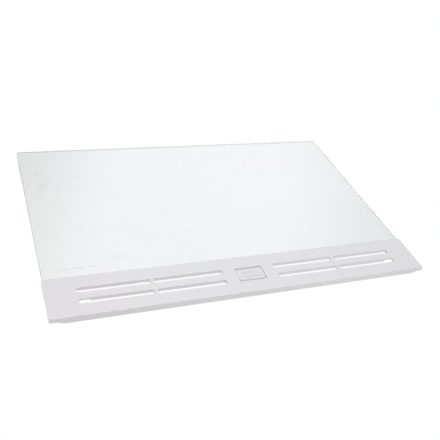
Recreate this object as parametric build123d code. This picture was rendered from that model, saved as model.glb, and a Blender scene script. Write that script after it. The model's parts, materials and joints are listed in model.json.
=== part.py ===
from build123d import *
import os

# A fridge shelf: a toughened glass pane whose front edge sits in the channel of a vented plastic trim.
# Millimetres, +Z up and +Y to the back. The origin is under the middle of the shelf, level with the trim's foot.

# Whole shelf
shelf_width = 480.0  # from one end of the trim to the other
shelf_depth = 316.0  # from the front of the trim to the back edge of the glass

# Glass pane
glass_thickness = 4.0
glass_corner_radius = 2.5
glass_arris = 0.5  # ground bevel along every edge
glass_grip = 12.0  # how far the glass reaches into the trim
glass_side_clearance = 0.3
glass_front_clearance = 0.3

# Trim section
trim_depth = 59.5
plate_thickness = 2.2  # top plate, which is also the upper jaw of the channel
lip_thickness = 2.2
channel_wall = 1.8  # upright in front of the glass edge
jaw_thickness = 2.1  # lower jaw of the channel
jaw_setback = 1.0  # the lower jaw stops this far short of the upper one
jaw_lead_in = 0.7  # bevel that guides the glass into the channel
end_wall = 1.2
rim_radius = 1.4  # rounding of the top plate's outer edge
lip_edge_radius = 0.7
front_corner_radius = 2.0
rear_corner_radius = 3.0

# Front lip, seen from the front: shallow at the ends, deeper over the middle
end_skirt_height = 5.7
end_skirt_length = 8.0
lip_ramp_length = 8.0
lip_ramp_radius = 5.0

# Crush ribs that press the glass up against the top plate
crush_rib_height = 0.3
crush_rib_width = 6.0
crush_rib_setback = 2.0  # from each end of the lower jaw
crush_rib_count = 9
crush_rib_end_margin = 24.0  # from the end of the glass to the middle of the last rib

# Air vents: two rows of slots, in a left and a right group
slot_length = 84.0
slot_width = 6.5
slot_bridge = 4.0  # bar between the two slots of a group
slot_outer_radius = 3.0
slot_inner_radius = 1.0
row_pitch = 16.8
vent_setback = 28.95  # from the front of the trim to midway between the rows
vent_half_gap = 34.0  # from the middle of the shelf to the nearest slot
slots_per_group = 2
opening_bevel = 0.3  # broken edge round each slot and the badge pocket
collar_width = 1.5  # rib round each row on the underside
collar_height = 2.4
front_collar_notch = 13.0  # part of a front collar's back rib left out at its outer end
rear_collar_notch = 3.0  # the same for a rear collar

# Badge pocket and badge
pocket_length = 35.6
pocket_width = 21.8
pocket_depth = 2.0
pocket_floor = 1.2
pocket_wall = 1.5
pocket_corner_radius = 0.8
badge_end_gap = 0.3
badge_side_gap = 2.0
badge_recess = 0.5  # the badge's face lies this far under the trim's top
badge_corner_radius = 4.0
badge_bevel = 0.3
bar_length = 22.0
bar_width = 2.0
bar_height = 0.4
bar_pitch = 6.4
peg_diameter = 3.0
peg_spacing = 18.0
peg_clearance = 0.1
stake_diameter = 5.0
stake_height = 0.9
stake_bevel = 0.4

# Stiffening ribs across the underside
rib_thickness = 1.4
rib_height = 3.0

# Levels and lines that follow from the sizes above
glass_bottom = jaw_thickness + crush_rib_height
glass_top = glass_bottom + glass_thickness
trim_top = glass_top + plate_thickness
skirt_foot = trim_top - end_skirt_height
front = -shelf_depth / 2
back = shelf_depth / 2
trim_rear = front + trim_depth
glass_front = trim_rear - glass_grip
channel_front = glass_front - glass_front_clearance
upright_front = channel_front - channel_wall
jaw_rear = trim_rear - jaw_setback
low_half_length = shelf_width / 2 - end_skirt_length - lip_ramp_length
glass_width = shelf_width - 2 * (end_wall + glass_side_clearance)
vent_middle = front + vent_setback
group_length = slots_per_group * slot_length + (slots_per_group - 1) * slot_bridge
vent_outer_end = vent_half_gap + group_length
row_middles = {"front": vent_middle - row_pitch / 2, "rear": vent_middle + row_pitch / 2}
collar_notches = {"front": front_collar_notch, "rear": rear_collar_notch}
badge_bottom = trim_top - pocket_depth
badge_top = trim_top - badge_recess
pocket_underside = badge_bottom - pocket_floor


def on_level(outline, bottom, top):
    """Raise a plan outline into a solid between two levels."""
    return extrude(Pos(0, 0, bottom) * outline, amount=top - bottom)


def both_ends(solid):
    """A solid and its mirror image on the other side of the shelf's middle."""
    return solid + mirror(solid, about=Plane.YZ)


def rounded_end_slot(length, width, outer_radius, inner_radius):
    """A slot outline whose +X end is rounder than its -X end."""
    outline = Rectangle(length, width)
    outline = fillet(outline.vertices().sort_by(Axis.X)[-2:], outer_radius)
    return fillet(outline.vertices().sort_by(Axis.X)[:2], inner_radius)


def trim_outline():
    """The trim seen from above."""
    outline = Pos(0, (front + trim_rear) / 2) * Rectangle(shelf_width, trim_depth)
    outline = fillet(outline.vertices().sort_by(Axis.Y)[-2:], rear_corner_radius)
    return fillet(outline.vertices().sort_by(Axis.Y)[:2], front_corner_radius)


def front_lip():
    """The front wall, which drops lower between its two ramps than at its ends."""
    end = shelf_width / 2
    ramp_top = end - end_skirt_length
    ramp_foot = low_half_length
    profile = make_face(Polyline(
        (-end, trim_top), (-end, skirt_foot), (-ramp_top, skirt_foot), (-ramp_foot, 0),
        (ramp_foot, 0), (ramp_top, skirt_foot), (end, skirt_foot), (end, trim_top), close=True,
    ))
    ramp_corners = [v for v in profile.vertices() if abs(v.X) < end - end_skirt_length / 2]
    profile = fillet(ramp_corners, lip_ramp_radius)
    wall = extrude(Plane.XZ.offset(-front) * profile, amount=-lip_thickness)
    foot_edges = [
        e for e in wall.edges().filter_by(lambda e: abs(e.tangent_at(0.5).Y) < 0.5)
        if e.center().Z < (skirt_foot + trim_top) / 2
    ]
    return fillet(foot_edges, lip_edge_radius)


def glass_channel():
    """The upright and lower jaw that hold the glass under the top plate, with the crush ribs.

    Like the deep part of the lip, they stop short of the ends, so the fridge's side ledges can pass.
    """
    section = make_face(Polyline(
        (upright_front, glass_top), (upright_front, 0), (jaw_rear, 0),
        (jaw_rear, jaw_thickness - jaw_lead_in), (jaw_rear - jaw_lead_in, jaw_thickness),
        (channel_front, jaw_thickness), (channel_front, glass_top), close=True,
    ))
    channel = extrude(Plane.YZ * section, amount=low_half_length, both=True)
    rib_front = channel_front + crush_rib_setback
    rib_rear = jaw_rear - crush_rib_setback
    rib = Pos(0, (rib_front + rib_rear) / 2) * Rectangle(crush_rib_width, rib_rear - rib_front)
    rib_pitch = (glass_width - 2 * crush_rib_end_margin) / (crush_rib_count - 1)
    for place in GridLocations(rib_pitch, 0, crush_rib_count, 1):
        channel += place * on_level(rib, jaw_thickness, glass_bottom)
    return channel


def end_walls():
    """The shallow walls at the trim's two ends."""
    wall_rear = trim_rear - rear_corner_radius
    middle = Pos(shelf_width / 2 - end_wall / 2, (front + wall_rear) / 2)
    return both_ends(on_level(middle * Rectangle(end_wall, wall_rear - front), skirt_foot, trim_top))


def cross_ribs():
    """Ribs from the lip to the channel, beside the badge pocket and outside the vents."""
    inner = (pocket_length / 2 + vent_half_gap) / 2
    outer = (vent_outer_end + shelf_width / 2) / 2
    span = upright_front - front - lip_thickness
    rib = Pos(0, front + lip_thickness + span / 2) * Rectangle(rib_thickness, span)
    right = [Pos(x, 0) * on_level(rib, glass_top - rib_height, glass_top) for x in (inner, outer)]
    return both_ends(right[0] + right[1])


def vent_collars():
    """A rib round each row of slots, notched at its outer back corner."""
    collar = rounded_end_slot(
        group_length + 2 * collar_width, slot_width + 2 * collar_width,
        slot_outer_radius + collar_width, slot_inner_radius + collar_width,
    )
    notch_width = slot_outer_radius + collar_width
    collars = Part()
    for name, row in row_middles.items():
        outline = Pos((vent_half_gap + vent_outer_end) / 2, row) * collar
        notch = Pos(
            vent_outer_end - collar_notches[name] / 2, row + slot_width / 2 + collar_width - notch_width / 2,
        ) * Rectangle(collar_notches[name], notch_width)
        collars += on_level(outline - notch, glass_top - collar_height, glass_top)
    return both_ends(collars)


def vent_slots():
    """The holes of all the vents, as one cutter."""
    slots = Part()
    for row in row_middles.values():
        for place in range(slots_per_group):
            is_outer = place == slots_per_group - 1
            end_radius = slot_outer_radius if is_outer else slot_inner_radius
            slot = rounded_end_slot(slot_length, slot_width, end_radius, slot_inner_radius)
            middle = vent_half_gap + slot_length / 2 + place * (slot_length + slot_bridge)
            slots += on_level(Pos(middle, row) * slot, 0, trim_top)
    return both_ends(slots)


def badge_tub():
    """The thicker place under the top plate that the badge pocket is sunk into."""
    outline = RectangleRounded(
        pocket_length + 2 * pocket_wall, pocket_width + 2 * pocket_wall, pocket_corner_radius + pocket_wall,
    )
    return on_level(Pos(0, vent_middle) * outline, pocket_underside, glass_top)


def badge_pocket():
    """The pocket and its two peg holes, as one cutter."""
    pocket = Pos(0, vent_middle) * RectangleRounded(pocket_length, pocket_width, pocket_corner_radius)
    cutter = on_level(pocket, badge_bottom, trim_top)
    for place in GridLocations(peg_spacing, 0, 2, 1):
        hole = Pos(0, vent_middle) * place * Circle(peg_diameter / 2 + peg_clearance)
        cutter += on_level(hole, pocket_underside, badge_bottom)
    return cutter


def front_trim():
    """The moulded trim: top plate, lip, end walls, glass channel, vents and badge pocket in one piece."""
    outline = trim_outline()
    shell = on_level(outline, glass_top, trim_top) + front_lip() + glass_channel() + end_walls()
    shell &= on_level(outline, 0, trim_top)
    rim = shell.faces().sort_by(Axis.Z)[-1].outer_wire().edges()
    shell = fillet(rim, rim_radius)
    shell = shell + cross_ribs() + vent_collars() + badge_tub()
    shell = shell - vent_slots() - badge_pocket()
    openings = shell.faces().sort_by(Axis.Z)[-1].inner_wires()
    return chamfer([edge for wire in openings for edge in wire.edges()], opening_bevel)


def glass_pane():
    """The pane, with rounded corners and ground edges."""
    outline = Pos(0, (glass_front + back) / 2) * RectangleRounded(
        glass_width, back - glass_front, glass_corner_radius,
    )
    pane = on_level(outline, glass_bottom, glass_top)
    faces = pane.faces().sort_by(Axis.Z)
    return chamfer(faces[0].edges() + faces[-1].edges(), glass_arris)


def centre_badge():
    """A plain badge with two raised bars, held by two pegs staked under the pocket's floor."""
    outline = RectangleRounded(
        pocket_length - 2 * badge_end_gap, pocket_width - 2 * badge_side_gap, badge_corner_radius,
    )
    badge = on_level(outline, badge_bottom, badge_top)
    badge = chamfer(badge.faces().sort_by(Axis.Z)[-1].edges(), badge_bevel)
    bar = RectangleRounded(bar_length, bar_width, bar_width / 2 - badge_bevel)
    for place in GridLocations(0, bar_pitch, 1, 2):
        badge += place * on_level(bar, badge_top, badge_top + bar_height)
    for place in GridLocations(peg_spacing, 0, 2, 1):
        stake = on_level(Circle(stake_diameter / 2), pocket_underside - stake_height, pocket_underside)
        stake = chamfer(stake.faces().sort_by(Axis.Z)[0].edges(), stake_bevel)
        peg = on_level(Circle(peg_diameter / 2), pocket_underside, badge_bottom)
        badge += place * (stake + peg)
    return Pos(0, vent_middle) * badge


os.makedirs("parts", exist_ok=True)
export_step(glass_pane(), "parts/glass_pane.step")
export_step(front_trim(), "parts/front_trim.step")
export_step(centre_badge(), "parts/centre_badge.step")
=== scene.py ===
import json
import math

import bmesh
import bpy
from bpy.props import FloatProperty, FloatVectorProperty, PointerProperty
from bpy.types import Operator, Panel, PropertyGroup
from mathutils import Matrix, Vector


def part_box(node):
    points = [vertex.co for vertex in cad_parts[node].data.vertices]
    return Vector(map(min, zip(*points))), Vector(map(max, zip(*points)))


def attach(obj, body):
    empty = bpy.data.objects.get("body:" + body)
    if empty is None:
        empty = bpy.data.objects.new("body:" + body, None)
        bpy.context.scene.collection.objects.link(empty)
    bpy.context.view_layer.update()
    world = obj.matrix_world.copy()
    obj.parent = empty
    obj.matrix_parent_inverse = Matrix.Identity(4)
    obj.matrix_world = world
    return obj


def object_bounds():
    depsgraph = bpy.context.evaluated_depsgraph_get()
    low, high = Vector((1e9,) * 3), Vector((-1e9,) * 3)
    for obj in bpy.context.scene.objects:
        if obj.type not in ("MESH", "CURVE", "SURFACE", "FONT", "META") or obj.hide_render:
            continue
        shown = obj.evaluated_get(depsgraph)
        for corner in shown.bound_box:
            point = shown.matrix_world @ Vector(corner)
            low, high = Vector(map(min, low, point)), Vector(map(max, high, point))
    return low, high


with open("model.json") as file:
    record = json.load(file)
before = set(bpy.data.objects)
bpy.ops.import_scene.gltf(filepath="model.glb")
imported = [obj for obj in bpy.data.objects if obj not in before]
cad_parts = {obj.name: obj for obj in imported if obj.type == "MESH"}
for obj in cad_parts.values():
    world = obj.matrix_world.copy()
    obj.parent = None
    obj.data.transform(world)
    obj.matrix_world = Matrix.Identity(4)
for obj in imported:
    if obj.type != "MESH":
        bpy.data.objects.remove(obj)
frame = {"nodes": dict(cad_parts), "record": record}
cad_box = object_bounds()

bl_info = {
    "name": "Fridge glass shelf",
    "version": (1, 0, 0),
    "blender": (4, 5, 0),
    "location": "View3D > Sidebar > Shelf",
    "description": "Dresses a glass fridge shelf: pane, moulded trim, badge, etched mark and a white stage",
    "category": "Object",
}

MM = 0.001
BODY = "root"
BLACK = (0.0, 0.0, 0.0, 1.0)
WHITE = (1.0, 1.0, 1.0, 1.0)
GLASS_LOW, GLASS_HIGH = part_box("glass_pane")
TRIM_LOW, TRIM_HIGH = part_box("front_trim")
BADGE_LOW, BADGE_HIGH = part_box("centre_badge")
VENTS = [opening["box_m"] for opening in frame["record"]["physics"]["openings"]]
VENTS_LOW = Vector([min(low[axis] for low, _ in VENTS) for axis in range(3)])
VENTS_HIGH = Vector([max(high[axis] for _, high in VENTS) for axis in range(3)])


class Wire:
    """A shader socket that takes plain sums. Each sum adds its own Math node."""

    def __init__(self, socket):
        self.socket = socket

    def math(self, operation, *values):
        """The result of a Math node in this socket's tree."""
        node = self.socket.id_data.nodes.new("ShaderNodeMath")
        node.operation = operation
        for place, value in enumerate(values):
            plug(value, node.inputs[place])
        return Wire(node.outputs[0])

    def __add__(self, other):
        return self.math("ADD", self, other)

    def __radd__(self, other):
        return self.math("ADD", other, self)

    def __sub__(self, other):
        return self.math("SUBTRACT", self, other)

    def __rsub__(self, other):
        return self.math("SUBTRACT", other, self)

    def __mul__(self, other):
        return self.math("MULTIPLY", self, other)

    def __rmul__(self, other):
        return self.math("MULTIPLY", other, self)

    def __abs__(self):
        return self.math("ABSOLUTE", self)

    def least(self, other):
        """The smaller of two values."""
        return self.math("MINIMUM", self, other)


def plug(value, socket):
    """Link a wire to a socket, or set the socket to a plain value."""
    if isinstance(value, Wire):
        socket.id_data.links.new(value.socket, socket)
    else:
        socket.default_value = value


def pick(sockets, name):
    """The first socket with this name or identifier. With no name, the first one in use."""
    for socket in sockets:
        if name in (socket.name, socket.identifier) or name is None and socket.enabled:
            return socket
    raise KeyError(name)


class Bench:
    """A node tree, emptied, with one way to add a node to it."""

    spot_core = 0.4  # share of a spot's radius where it is full
    lot_edge = 0.02  # half the width of the step from cells without a spot to cells with one
    relief_strength = 0.6

    def __init__(self, tree):
        self.tree = tree
        tree.nodes.clear()

    def add(self, kind, settings=None, inputs=None, out=None):
        """Add a node, set it up, fill its sockets, and return the named output, or a list of them."""
        node = self.tree.nodes.new(kind)
        for name, value in (settings or {}).items():
            setattr(node, name, value)
        for name, value in (inputs or {}).items():
            plug(value, pick(node.inputs, name))
        if isinstance(out, tuple):
            return [Wire(pick(node.outputs, name)) for name in out]
        return Wire(pick(node.outputs, out)) if node.outputs else node

    def place(self, scale=(1, 1, 1)):
        """Object coordinates in metres, stretched for a pattern."""
        coordinates = self.add("ShaderNodeTexCoord", out="Object")
        return self.add("ShaderNodeMapping", inputs={"Vector": coordinates, "Scale": scale})

    def split(self, vector):
        """The X, Y and Z of a vector, as three wires."""
        return self.add("ShaderNodeSeparateXYZ", inputs={"Vector": vector}, out=("X", "Y", "Z"))

    def axes(self):
        """The X, Y and Z of Object coordinates in metres."""
        return self.split(self.add("ShaderNodeTexCoord", out="Object"))

    def from_outline(self, low, high):
        """Distance in metres from the outline of a piece's box, seen from above."""
        x, y, _ = self.axes()
        middle, half = (low + high) / 2, (high - low) / 2
        return (half.x - abs(x - middle.x)).least(half.y - abs(y - middle.y))

    def ellipse(self, centre, half_size, turn):
        """Distance from an ellipse's middle, which is 1 on its outline."""
        local = self.add("ShaderNodeMapping", {"vector_type": "TEXTURE"}, {
            "Vector": self.add("ShaderNodeTexCoord", out="Object"),
            "Location": (*centre, 0), "Rotation": (0, 0, turn), "Scale": (*half_size, 1),
        })
        return self.add("ShaderNodeVectorMath", {"operation": "LENGTH"}, {"Vector": local}, "Value")

    def noise(self, per_metre, detail=2.0, stretch=(1, 1, 1)):
        """Cloudy noise from 0 to 1, with so many features to the metre."""
        return self.add(
            "ShaderNodeTexNoise", {"normalize": True},
            {"Vector": self.place(stretch), "Scale": per_metre, "Detail": detail}, "Fac",
        )

    def spots(self, spacing, radius, share):
        """Round spots on a plate, in a share of the cells of an uneven grid."""
        distance, lot = self.add(
            "ShaderNodeTexVoronoi", {"voronoi_dimensions": "2D"},
            {"Vector": self.place(), "Scale": 1 / spacing}, ("Distance", "Color"),
        )
        spot = 1 - self.ramp(distance, self.spot_core * radius / spacing, radius / spacing)
        drawn = self.split(lot)[0]
        return spot * self.ramp(drawn, 1 - share - self.lot_edge, 1 - share + self.lot_edge)

    def ramp(self, value, start, end):
        """Ease from 0 to 1 as a value goes from start to end."""
        return self.add(
            "ShaderNodeMapRange", {"interpolation_type": "SMOOTHSTEP"},
            {"Value": value, "From Min": start, "From Max": end}, "Result",
        )

    def band(self, value, edges):
        """1 between the second and third edge, eased to 0 at the first and fourth."""
        return self.ramp(value, edges[0], edges[1]) * (1 - self.ramp(value, edges[2], edges[3]))

    def blend(self, share, first, second):
        """Mix two colours."""
        return self.add(
            "ShaderNodeMix", {"data_type": "RGBA"},
            {"Factor_Float": share, "A_Color": first, "B_Color": second}, "Result_Color",
        )

    def relief(self, height, depth):
        """The normals of a fine grain of this depth."""
        return self.add(
            "ShaderNodeBump",
            inputs={"Height": height, "Distance": depth, "Strength": self.relief_strength}, out="Normal",
        )


def rgba(colour):
    """A colour with full alpha, for a node's socket."""
    return (*colour, 1.0)


def new_finish(name):
    """A new node material and the bench for its tree."""
    material = bpy.data.materials.new(name)
    material.use_nodes = True
    return material, Bench(material.node_tree)


def surface(bench, inputs):
    """The one shader of a finish, joined to the output."""
    shader = bench.add("ShaderNodeBsdfPrincipled", inputs=inputs)
    bench.add("ShaderNodeOutputMaterial", inputs={"Surface": shader})


def dress(node_name, material):
    """Give a node of the frame its finish."""
    slots = frame["nodes"][node_name].material_slots
    if not slots:
        raise RuntimeError(f"{node_name} has no material slot")
    for slot in slots:
        slot.material = material


def new_object(context, name, mesh):
    """A new object in the scene, which takes its shape from a bmesh."""
    data = bpy.data.meshes.new(name)
    mesh.to_mesh(data)
    mesh.free()
    made = bpy.data.objects.new(name, data)
    context.scene.collection.objects.link(made)
    return made


class GlassSettings(PropertyGroup):
    """Looks of the glass pane"""

    tint: FloatVectorProperty(
        name="Tint", description="Colour of light that has passed through the middle of the pane",
        subtype="COLOR", size=3, min=0, max=1, default=(0.850, 0.856, 0.862),
    )
    tint_right: FloatVectorProperty(
        name="Tint on the right",
        description="Colour of light that has passed through the front right of the pane",
        subtype="COLOR", size=3, min=0, max=1, default=(0.850, 0.880, 0.878),
    )
    tint_left: FloatVectorProperty(
        name="Tint on the left",
        description="Colour of light that has passed through the left side of the pane",
        subtype="COLOR", size=3, min=0, max=1, default=(0.850, 0.863, 0.857),
    )
    edge_colour: FloatVectorProperty(
        name="Edge colour", description="Colour of the ground edges",
        subtype="COLOR", size=3, min=0, max=1, default=(0.88, 0.98, 0.95),
    )
    edge_width: FloatProperty(
        name="Edge width", description="Width of the ground bevel along each edge",
        subtype="DISTANCE", unit="LENGTH", default=0.5 * MM,
    )
    edge_frost: FloatProperty(
        name="Edge frost", description="How much of each edge is ground matt",
        subtype="FACTOR", min=0, max=1, default=0.8,
    )
    edge_passage: FloatProperty(
        name="Edge passage", description="How much light passes through the matt edges",
        subtype="FACTOR", min=0, max=1, default=0.35,
    )
    refraction: FloatProperty(
        name="Index of refraction", description="How strongly the glass bends light",
        default=1.52, min=1, max=2,
    )
    smear: FloatProperty(
        name="Smears", description="How much wiped smears dim the glass",
        subtype="FACTOR", min=0, max=1, default=0.014,
    )
    smear_width: FloatProperty(
        name="Smear width", description="Width of the wiped smears",
        subtype="DISTANCE", unit="LENGTH", default=14 * MM,
    )
    smudge: FloatProperty(
        name="Smudges", description="How much the finger smudges dim the glass",
        subtype="FACTOR", min=0, max=1, default=0.05,
    )
    spot: FloatProperty(
        name="Water spots", description="How much dried drops dim the glass",
        subtype="FACTOR", min=0, max=1, default=0.02,
    )
    spot_spacing: FloatProperty(
        name="Spot spacing", description="From one place for a dried drop to the next",
        subtype="DISTANCE", unit="LENGTH", default=15 * MM,
    )
    dust: FloatProperty(
        name="Dust", description="How much dust specks dim the glass",
        subtype="FACTOR", min=0, max=1, default=0.12,
    )
    dust_spacing: FloatProperty(
        name="Dust spacing", description="From one place for a speck of dust to the next",
        subtype="DISTANCE", unit="LENGTH", default=5 * MM,
    )


class TrimSettings(PropertyGroup):
    """Looks of the front trim"""

    colour: FloatVectorProperty(
        name="Colour", description="Colour of the moulded plastic",
        subtype="COLOR", size=3, min=0, max=1, default=(0.775, 0.775, 0.78),
    )
    warm_colour: FloatVectorProperty(
        name="Warm colour", description="Colour of the plastic where it has warmed a little",
        subtype="COLOR", size=3, min=0, max=1, default=(0.78, 0.745, 0.765),
    )
    roughness: FloatProperty(
        name="Roughness", description="Roughness of the satin surface",
        subtype="FACTOR", min=0, max=1, default=0.34,
    )
    # Painted shade: darkens the ends of the front lip, most of all at the left end
    lip_shade: FloatProperty(
        name="Lip shade", description="How much painted shade darkens the ends of the front lip",
        subtype="FACTOR", min=0, max=1, default=0.08,
    )
    streaks: FloatProperty(
        name="Flow streaks", description="How much the moulding's flow streaks change its colour",
        subtype="FACTOR", min=0, max=1, default=0.02,
    )
    rub: FloatProperty(
        name="Rub", description="How much use has polished the rim",
        subtype="FACTOR", min=0, max=1, default=0.08,
    )
    # Painted shade on the walls at the outer ends of the vent slots
    slot_end_shade: FloatProperty(
        name="Slot end shade", description="How much painted shade darkens the outer ends of the vent slots",
        subtype="FACTOR", min=0, max=1, default=0.12,
    )
    grain_per_metre: FloatProperty(
        name="Grain to the metre", description="How fine the moulded grain is",
        default=1500.0, min=1, max=10000,
    )
    grain_depth: FloatProperty(
        name="Grain depth", description="Depth of the moulded grain",
        subtype="DISTANCE", unit="LENGTH", default=0.04 * MM,
    )


class BadgeSettings(PropertyGroup):
    """Looks of the centre badge"""

    colour: FloatVectorProperty(
        name="Colour", description="Colour of the badge's plate",
        subtype="COLOR", size=3, min=0, max=1, default=(0.765, 0.765, 0.77),
    )
    bar_colour: FloatVectorProperty(
        name="Bar colour", description="Colour of the two raised bars",
        subtype="COLOR", size=3, min=0, max=1, default=(0.725, 0.725, 0.735),
    )
    bar_height: FloatProperty(
        name="Bar height", description="How far the bars stand above the plate",
        subtype="DISTANCE", unit="LENGTH", default=0.4 * MM,
    )
    roughness: FloatProperty(
        name="Roughness", description="Roughness of the badge",
        subtype="FACTOR", min=0, max=1, default=0.36,
    )
    mottle: FloatProperty(
        name="Mottling", description="How much the badge's colour varies",
        subtype="FACTOR", min=0, max=1, default=0.03,
    )
    rub: FloatProperty(
        name="Rub", description="How much wiping has polished the badge's edges",
        subtype="FACTOR", min=0, max=1, default=0.10,
    )
    grain_per_metre: FloatProperty(
        name="Grain to the metre", description="How fine the moulded grain is",
        default=2500.0, min=1, max=10000,
    )
    grain_depth: FloatProperty(
        name="Grain depth", description="Depth of the moulded grain",
        subtype="DISTANCE", unit="LENGTH", default=0.02 * MM,
    )


class MarkSettings(PropertyGroup):
    """Size, place and looks of the etched mark"""

    height: FloatProperty(
        name="Height", description="Height of the etched dashes",
        subtype="DISTANCE", unit="LENGTH", default=2.6 * MM,
    )
    thickness: FloatProperty(
        name="Thickness", description="Thickness of the etched dashes",
        subtype="DISTANCE", unit="LENGTH", default=0.03 * MM,
    )
    from_left: FloatProperty(
        name="From the left", description="From the left edge of the glass to the first dash",
        subtype="DISTANCE", unit="LENGTH", default=17.6 * MM,
    )
    from_trim: FloatProperty(
        name="From the trim", description="From the trim's back edge to the middle of the dashes",
        subtype="DISTANCE", unit="LENGTH", default=14.0 * MM,
    )
    gap: FloatProperty(
        name="Gap", description="Gap between two dashes",
        subtype="DISTANCE", unit="LENGTH", default=1.4 * MM,
    )
    colour: FloatVectorProperty(
        name="Colour", description="Colour of the etched dashes",
        subtype="COLOR", size=3, min=0, max=1, default=(0.78, 0.81, 0.80),
    )
    cover: FloatProperty(
        name="Cover", description="How much the etched dashes hide",
        subtype="FACTOR", min=0, max=1, default=0.18,
    )


class StageSettings(PropertyGroup):
    """Floor, light and camera"""

    floor_radius: FloatProperty(
        name="Floor radius", description="Radius of the round white floor",
        subtype="DISTANCE", unit="LENGTH", default=12.0,
    )
    floor_glow: FloatProperty(
        name="Floor glow", description="Brightness of the lit floor", default=1.0, min=0, max=5,
    )
    bounce: FloatProperty(
        name="Bounce",
        description="How much more light the floor throws up under the right of the trim than its left",
        default=0.10, min=0, max=2,
    )
    room_front: FloatVectorProperty(
        name="Room in front", description="Light of the room in front of the shelf",
        subtype="COLOR", size=3, min=0, soft_max=5, default=(0.45, 0.45, 0.45),
    )
    room_back: FloatVectorProperty(
        name="Room behind", description="Light of the room behind the shelf",
        subtype="COLOR", size=3, min=0, soft_max=5, default=(0.10, 0.10, 0.10),
    )
    room_left: FloatVectorProperty(
        name="Room to the left", description="Light of the room to the left of the shelf",
        subtype="COLOR", size=3, min=0, soft_max=5, default=(0.85, 0.85, 0.85),
    )
    overhead_glow: FloatVectorProperty(
        name="Overhead glow", description="Light of the softbox overhead",
        subtype="COLOR", size=3, min=0, soft_max=10, default=(2.25, 2.25, 2.27),
    )
    overhead_spread: FloatVectorProperty(
        name="Overhead spread",
        description="Angles from straight up where the overhead softbox starts and ends to fade",
        subtype="EULER", unit="ROTATION", size=2, default=(math.radians(24), math.radians(40)),
    )
    window_glow: FloatVectorProperty(
        name="Window glow", description="Light of the softbox behind the shelf",
        subtype="COLOR", size=3, min=0, soft_max=10, default=(1.30, 1.33, 1.42),
    )
    window_azimuths: FloatVectorProperty(
        name="Window azimuths", description="Turns to the right of straight behind: edge, full, full, edge",
        unit="ROTATION", size=4, default=[math.radians(turn) for turn in (3, 17, 32, 54.5)],
    )
    window_elevations: FloatVectorProperty(
        name="Window elevations", description="Heights above the horizon: edge, full, full, edge",
        unit="ROTATION", size=4, default=[math.radians(turn) for turn in (10, 22, 50, 60)],
    )
    window_flare: FloatProperty(
        name="Window flare", description="How much wider the softbox behind is at its top than at its foot",
        default=1.0, min=0, max=2,
    )
    camera_place: FloatVectorProperty(
        name="Camera place", description="Where the camera stands",
        subtype="TRANSLATION", unit="LENGTH", size=3, default=(-0.30552, -0.58637, 0.49184),
    )
    camera_aim: FloatVectorProperty(
        name="Camera aim", description="The point that the camera looks at",
        subtype="TRANSLATION", unit="LENGTH", size=3, default=(-0.00162, -0.02625, 0.00860),
    )
    camera_roll: FloatProperty(
        name="Camera roll", description="Tilt of the camera about its line of sight",
        subtype="ANGLE", unit="ROTATION", default=math.radians(13.003),
    )
    camera_lens: FloatProperty(
        name="Lens", description="Focal length in millimetres on a 36 mm sensor",
        default=49.637, min=1, max=500,
    )


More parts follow.
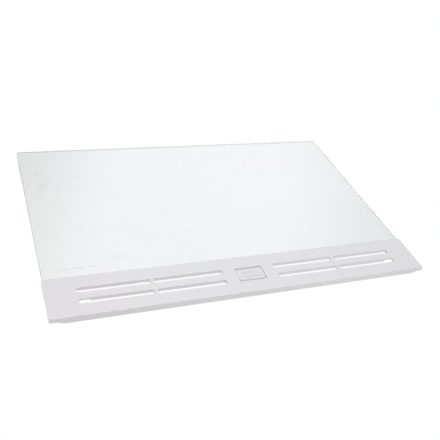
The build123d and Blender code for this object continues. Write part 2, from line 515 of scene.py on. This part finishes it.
class SHELF_OT_glass(Operator):
    """Give the pane its clear faces, its marks of use and its ground edges"""

    bl_idname = "shelf.glass"
    bl_label = "Dress glass pane"

    # Where a tint starts and is full
    right_tint_x = (-60 * MM, 80 * MM)
    right_tint_y = (130 * MM, 50 * MM)
    left_tint_inset = (60 * MM, 20 * MM)  # from the pane's left edge

    # Ground edges
    edge_fade = (0.6, 1.2)  # shares of the edge width where the grinding starts and ends to fade
    edge_haze = 0.27  # roughness of what is not ground matt
    ground_roughness = 0.8
    ground_refraction = 1.05

    # Wiped smears and finger smudges
    smear_detail = 4.0
    smear_stretch = (0.5, 1.0, 1.0)  # they run across the pane
    smear_levels = (0.45, 0.75)  # of the noise, where a smear starts and is full
    smudge_fade = (-0.1, 1.2)  # shares of the half size where a smudge starts and ends to fade
    # Place, half size and turn of each smudge, in millimetres and degrees
    smudges = (((-216, 74), (26, 8), 68), ((-219, 107), (11, 5), 75), ((-148, -72), (13, 6), 12))

    # Radius, as a share of the spacing, and share of the places that are taken
    dried_drops = (0.3, 0.3)
    specks = (0.08, 0.4)

    def execute(self, context):
        look = context.scene.shelf_glass
        material, bench = new_finish("shelf_glass")
        edge = self.edge(bench, look)
        dirt = self.dirt(bench, look)
        dim = bench.blend(dirt, self.tint(bench, look), BLACK)
        clear = bench.add("ShaderNodeBsdfPrincipled", inputs={
            "Base Color": bench.blend(edge, dim, rgba(look.edge_colour)),
            "Roughness": dirt + edge * self.edge_haze,
            "IOR": look.refraction,
            "Transmission Weight": 1.0,
        })
        ground = bench.add("ShaderNodeBsdfPrincipled", inputs={
            "Base Color": rgba(look.edge_colour),
            "Roughness": self.ground_roughness,
            "IOR": self.ground_refraction,
            "Transmission Weight": look.edge_passage,
        })
        pane = bench.add("ShaderNodeMixShader", inputs={
            "Fac": edge * look.edge_frost, "Shader": clear, "Shader_001": ground,
        })
        bench.add("ShaderNodeOutputMaterial", inputs={"Surface": pane})
        dress("glass_pane", material)
        return {"FINISHED"}

    def tint(self, bench, look):
        """The colour of the clean glass, which differs a little on the left and the front right."""
        x, y, _ = bench.axes()
        right = bench.ramp(x, *self.right_tint_x) * bench.ramp(y, *self.right_tint_y)
        left = bench.ramp(x, *[GLASS_LOW.x + inset for inset in self.left_tint_inset])
        tint = bench.blend(right, rgba(look.tint), rgba(look.tint_right))
        return bench.blend(left, tint, rgba(look.tint_left))

    def edge(self, bench, look):
        """1 on the ground edges and 0 on the faces."""
        inset = bench.from_outline(GLASS_LOW, GLASS_HIGH)
        return 1 - bench.ramp(inset, *[share * look.edge_width for share in self.edge_fade])

    def dirt(self, bench, look):
        """The share of light lost to smears, smudges, dried drops and dust."""
        ragged = bench.noise(1 / look.smear_width, self.smear_detail, self.smear_stretch)
        dirt = bench.ramp(ragged, *self.smear_levels) * look.smear
        for centre, half_size, turn in self.smudges:
            reach = bench.ellipse(
                [place * MM for place in centre], [size * MM for size in half_size], math.radians(turn),
            )
            dirt += (1 - bench.ramp(reach + (ragged - 0.5), *self.smudge_fade)) * look.smudge
        for spacing, (radius, share), strength in (
            (look.spot_spacing, self.dried_drops, look.spot),
            (look.dust_spacing, self.specks, look.dust),
        ):
            dirt += bench.spots(spacing, radius * spacing, share) * strength
        return dirt


class SHELF_OT_trim(Operator):
    """Give the trim its satin white plastic with a fine moulded grain"""

    bl_idname = "shelf.trim"
    bl_label = "Dress front trim"

    # Clouds and flow streaks in the plastic
    clouds_per_metre = 7.0
    flow_per_metre = 220.0
    flow_detail = 3.0
    flow_stretch = (0.02, 1.0, 1.0)  # the streaks run along the trim
    warm_left, warm_clouds = 0.7, 0.3  # shares of the warm colour due to the left end and to the clouds
    flow_gloss, grain_gloss = 0.08, 0.1  # how far each pattern changes the roughness

    # Painted shade on the front lip, a warmer tone at the left end and polish from use. Shares are of the
    # way from the middle of the trim to an end.
    left_warmth = (0.5, 0.9)
    left_lip_shade = (0.6, 1.0)  # starts on the right half, and is full at the left end
    right_lip_shade = (0.7, 0.95)
    right_lip_shade_strength = 0.6
    lip_reach = (0.5 * MM, 2.0 * MM)  # from the front of the trim
    rub_reach = (1.0 * MM, 3.5 * MM)  # from the outline of the trim
    rub_wander = 1.0 * MM

    # Where painted shade starts, is full and ends on the slots' end walls
    shade_past = [step * MM for step in (0, 1.5, 2.2, 3.0)]  # outwards from the ends of the vents
    shade_beside = [step * MM for step in (1.0, 3.0)]  # from the outermost rows
    shade_below = [step * MM for step in (0.3, 0.8)]  # from the top of the trim

    def execute(self, context):
        look = context.scene.shelf_trim
        material, bench = new_finish("trim_plastic")
        clouds = bench.noise(self.clouds_per_metre)
        flow = bench.noise(self.flow_per_metre, self.flow_detail, self.flow_stretch)
        grain = bench.noise(look.grain_per_metre)
        x = bench.axes()[0]
        left_end = bench.ramp(x, *[share * TRIM_LOW.x for share in self.left_warmth])
        warmth = left_end * self.warm_left + clouds * self.warm_clouds
        tone = bench.blend(warmth, rgba(look.colour), rgba(look.warm_colour))
        # Painted shade: darkens the ends of the front lip and the walls at the outer ends of the vent slots
        lip_and_slot_shade = self.lip_shade_mask(bench) * look.lip_shade + self.slot_ends(bench) * look.slot_end_shade
        outline = bench.from_outline(TRIM_LOW, TRIM_HIGH)
        rubbed = 1 - bench.ramp(outline + flow * self.rub_wander, *self.rub_reach)
        patterns = (flow - 0.5) * self.flow_gloss + (grain - 0.5) * self.grain_gloss
        surface(bench, {
            "Base Color": bench.blend(lip_and_slot_shade + flow * look.streaks, tone, BLACK),
            "Roughness": look.roughness + patterns - rubbed * look.rub,
            "Normal": bench.relief(grain, look.grain_depth),
        })
        dress("front_trim", material)
        return {"FINISHED"}

    def lip_shade_mask(self, bench):
        """1 on the front lip where shade is painted, most of all at its left end."""
        x, y, _ = bench.axes()
        lip = 1 - bench.ramp(y, *[TRIM_LOW.y + reach for reach in self.lip_reach])
        left = bench.ramp(x, self.left_lip_shade[0] * TRIM_HIGH.x, self.left_lip_shade[1] * TRIM_LOW.x)
        right = bench.ramp(x, *[share * TRIM_HIGH.x for share in self.right_lip_shade])
        return lip * (left + right * self.right_lip_shade_strength)

    def slot_ends(self, bench):
        """1 on the walls at the outer ends of the vent slots, where shade is painted."""
        x, y, z = bench.axes()
        middle, half = (VENTS_LOW + VENTS_HIGH) / 2, (VENTS_HIGH - VENTS_LOW) / 2
        past = bench.band(abs(x - middle.x), [half.x + step for step in self.shade_past])
        beside = bench.ramp(abs(y - middle.y), *[half.y + step for step in self.shade_beside])
        below = bench.ramp(z, *[TRIM_HIGH.z - step for step in self.shade_below])
        return past * (1 - beside) * below


class SHELF_OT_badge(Operator):
    """Give the badge its plain plate and its two darker bars"""

    bl_idname = "shelf.badge"
    bl_label = "Dress centre badge"

    bar_fade = (0.1, 0.3)  # shares of the bars' height where their colour starts and is full
    clouds_per_metre = 180.0
    clouds_detail = 4.0
    clouds_gloss, grain_gloss = 0.1, 0.08  # how far each pattern changes the roughness
    rub_reach = (0.6 * MM, 2.0 * MM)  # from the outline of the badge
    rub_wander = 1.0 * MM

    def execute(self, context):
        look = context.scene.shelf_badge
        material, bench = new_finish("badge_plastic")
        clouds = bench.noise(self.clouds_per_metre, self.clouds_detail)
        grain = bench.noise(look.grain_per_metre)
        z = bench.axes()[2]
        plate_top = BADGE_HIGH.z - look.bar_height
        bar = bench.ramp(z, *[plate_top + share * look.bar_height for share in self.bar_fade])
        tone = bench.blend(bar, rgba(look.colour), rgba(look.bar_colour))
        outline = bench.from_outline(BADGE_LOW, BADGE_HIGH)
        rubbed = 1 - bench.ramp(outline + clouds * self.rub_wander, *self.rub_reach)
        patterns = (grain - 0.5) * self.grain_gloss + (clouds - 0.5) * self.clouds_gloss
        surface(bench, {
            "Base Color": bench.blend(clouds * look.mottle, tone, BLACK),
            "Roughness": look.roughness + patterns - rubbed * look.rub,
            "Normal": bench.relief(grain, look.grain_depth),
        })
        dress("centre_badge", material)
        return {"FINISHED"}


class SHELF_OT_mark(Operator):
    """Etch a row of plain dashes into a front corner of the glass"""

    bl_idname = "shelf.mark"
    bl_label = "Add etched mark"

    dash_lengths = [length * MM for length in (6.8, 6.2, 7.6, 8.6, 9.0)]  # from left to right
    corner_share = 0.3  # radius of a dash's corners, as a share of its height
    corner_segments = 4
    speckles_per_metre = 2500.0
    speckle_cover = 0.06  # how far the speckle changes the cover
    roughness = 0.8

    def execute(self, context):
        look = context.scene.shelf_mark
        piece = new_object(context, "etched_mark", self.dashes(look))
        material, bench = new_finish("etched_mark")
        speckle = bench.noise(self.speckles_per_metre)
        surface(bench, {
            "Base Color": rgba(look.colour),
            "Roughness": self.roughness,
            "Alpha": look.cover + (speckle - 0.5) * self.speckle_cover,
        })
        piece.data.materials.append(material)
        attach(piece, BODY)
        return {"FINISHED"}

    def dashes(self, look):
        """A row of flat dashes with round corners, just clear of the glass."""
        mesh = bmesh.new()
        left = GLASS_LOW.x + look.from_left
        middle_y = TRIM_HIGH.y + look.from_trim
        for length in self.dash_lengths:
            size = Vector((length, look.height, look.thickness))
            place = Vector((left + size.x / 2, middle_y, GLASS_HIGH.z + size.z))
            bmesh.ops.create_cube(mesh, size=1.0, matrix=Matrix.LocRotScale(place, None, size))
            left += size.x + look.gap
        upright = [e for e in mesh.edges if abs(e.verts[0].co.z - e.verts[1].co.z) > look.thickness / 2]
        bmesh.ops.bevel(
            mesh, geom=upright, offset=self.corner_share * look.height, segments=self.corner_segments,
            profile=0.5, affect="EDGES", material=-1,
        )
        return mesh


class SHELF_OT_stage(Operator):
    """Set the white floor, the soft studio light and the camera"""

    bl_idname = "shelf.stage"
    bl_label = "Set stage"

    floor_segments = 64
    bounce_fade = 10 * MM  # from the front and back of the trim
    bounce_start = 0.3  # share of the way from the middle to the trim's left end
    bounce_full = 0.2  # share of the way from the middle to its right end
    back_room = (-0.3, 0.3)  # Y of the directions where the room behind starts and is full
    left_room = (-0.35, -0.9)  # X of the directions where the room to the left starts and is full
    sensor_width = 36.0  # in millimetres
    clip_range = (0.01, 100.0)  # in metres

    def execute(self, context):
        look = context.scene.shelf_stage
        self.make_floor(context, look)
        self.make_light(context, look)
        self.make_camera(context, look)
        context.scene.view_settings.view_transform = "Standard"
        return {"FINISHED"}

    def make_floor(self, context, look):
        """A round floor at the foot of the shelf, lit evenly and seen as white."""
        mesh = bmesh.new()
        bmesh.ops.create_circle(mesh, cap_ends=True, radius=look.floor_radius, segments=self.floor_segments)
        bmesh.ops.translate(mesh, vec=(0, 0, cad_box[0].z), verts=mesh.verts)
        floor = new_object(context, "floor", mesh)
        material, bench = new_finish("lit_floor")
        x, y, _ = bench.axes()
        front, back = TRIM_LOW.y, TRIM_HIGH.y
        under = bench.band(y, (front, front + self.bounce_fade, back - self.bounce_fade, back))
        under *= bench.ramp(x, self.bounce_start * TRIM_LOW.x, self.bounce_full * TRIM_HIGH.x)
        seen = bench.add("ShaderNodeLightPath", out="Is Camera Ray")
        lift = 1 + look.bounce
        tone = bench.blend(under * (1 - seen), WHITE, rgba((lift, lift, lift)))
        glow = bench.add("ShaderNodeEmission", inputs={"Color": tone, "Strength": look.floor_glow})
        bench.add("ShaderNodeOutputMaterial", inputs={"Surface": glow})
        floor.data.materials.append(material)

    def make_light(self, context, look):
        """A room with one softbox overhead and one behind the shelf, seen as white."""
        world = bpy.data.worlds.new("studio")
        world.use_nodes = True
        bench = Bench(world.node_tree)
        direction = bench.add("ShaderNodeTexCoord", out="Generated")
        x, y, z = bench.split(direction)
        room = bench.blend(bench.ramp(y, *self.back_room), rgba(look.room_front), rgba(look.room_back))
        room = bench.blend(bench.ramp(x, *self.left_room), room, rgba(look.room_left))
        zenith = z.math("ARCCOSINE", z)
        overhead = 1 - bench.ramp(zenith, *look.overhead_spread)
        height = math.pi / 2 - zenith
        middle = (look.window_azimuths[1] + look.window_azimuths[2]) / 2
        level = (look.window_elevations[1] + look.window_elevations[2]) / 2
        turn = x.math("ARCTAN2", x, y) - middle
        window = bench.band(middle + turn * (1 - (height - level) * look.window_flare), look.window_azimuths)
        window *= bench.band(height, look.window_elevations)
        lit = bench.blend(overhead, room, rgba(look.overhead_glow))
        glow = bench.blend(window, lit, rgba(look.window_glow))
        seen = bench.add("ShaderNodeLightPath", out="Is Camera Ray")
        background = bench.add("ShaderNodeBackground", inputs={"Color": bench.blend(seen, glow, WHITE)})
        bench.add("ShaderNodeOutputWorld", inputs={"Surface": background})
        context.scene.world = world

    def make_camera(self, context, look):
        """The camera, at the angle of the photograph."""
        data = bpy.data.cameras.new("camera")
        data.lens = look.camera_lens
        data.sensor_width = self.sensor_width
        data.clip_start, data.clip_end = self.clip_range
        camera = bpy.data.objects.new("camera", data)
        place = Vector(look.camera_place)
        sight = Vector(look.camera_aim) - place
        turn = sight.to_track_quat("-Z", "Y").to_matrix() @ Matrix.Rotation(look.camera_roll, 3, "Z")
        camera.matrix_world = Matrix.LocRotScale(place, turn.to_quaternion(), None)
        context.scene.collection.objects.link(camera)
        context.scene.camera = camera


class SHELF_PT_sidebar(Panel):
    """The shelf's pieces and their settings"""

    bl_label = "Fridge glass shelf"
    bl_space_type = "VIEW_3D"
    bl_region_type = "UI"
    bl_category = "Shelf"

    def draw(self, context):
        for operator, group in STEPS:
            box = self.layout.box()
            box.operator(operator.bl_idname)
            settings = getattr(context.scene, group)
            for name in settings.bl_rna.properties.keys():
                if name not in ("rna_type", "name"):
                    box.prop(settings, name)


SETTINGS = {
    "shelf_glass": GlassSettings,
    "shelf_trim": TrimSettings,
    "shelf_badge": BadgeSettings,
    "shelf_mark": MarkSettings,
    "shelf_stage": StageSettings,
}
STEPS = (
    (SHELF_OT_glass, "shelf_glass"),
    (SHELF_OT_trim, "shelf_trim"),
    (SHELF_OT_badge, "shelf_badge"),
    (SHELF_OT_mark, "shelf_mark"),
    (SHELF_OT_stage, "shelf_stage"),
)


def register():
    for group, settings in SETTINGS.items():
        bpy.utils.register_class(settings)
        setattr(bpy.types.Scene, group, PointerProperty(type=settings))
    for operator, _ in STEPS:
        bpy.utils.register_class(operator)
    bpy.utils.register_class(SHELF_PT_sidebar)


def unregister():
    bpy.utils.unregister_class(SHELF_PT_sidebar)
    for operator, _ in reversed(STEPS):
        bpy.utils.unregister_class(operator)
    for group, settings in reversed(SETTINGS.items()):
        delattr(bpy.types.Scene, group)
        bpy.utils.unregister_class(settings)


def main():
    register()
    bpy.ops.shelf.glass()
    bpy.ops.shelf.trim()
    bpy.ops.shelf.badge()
    bpy.ops.shelf.mark()
    bpy.ops.shelf.stage()


if __name__ == "__main__":
    main()
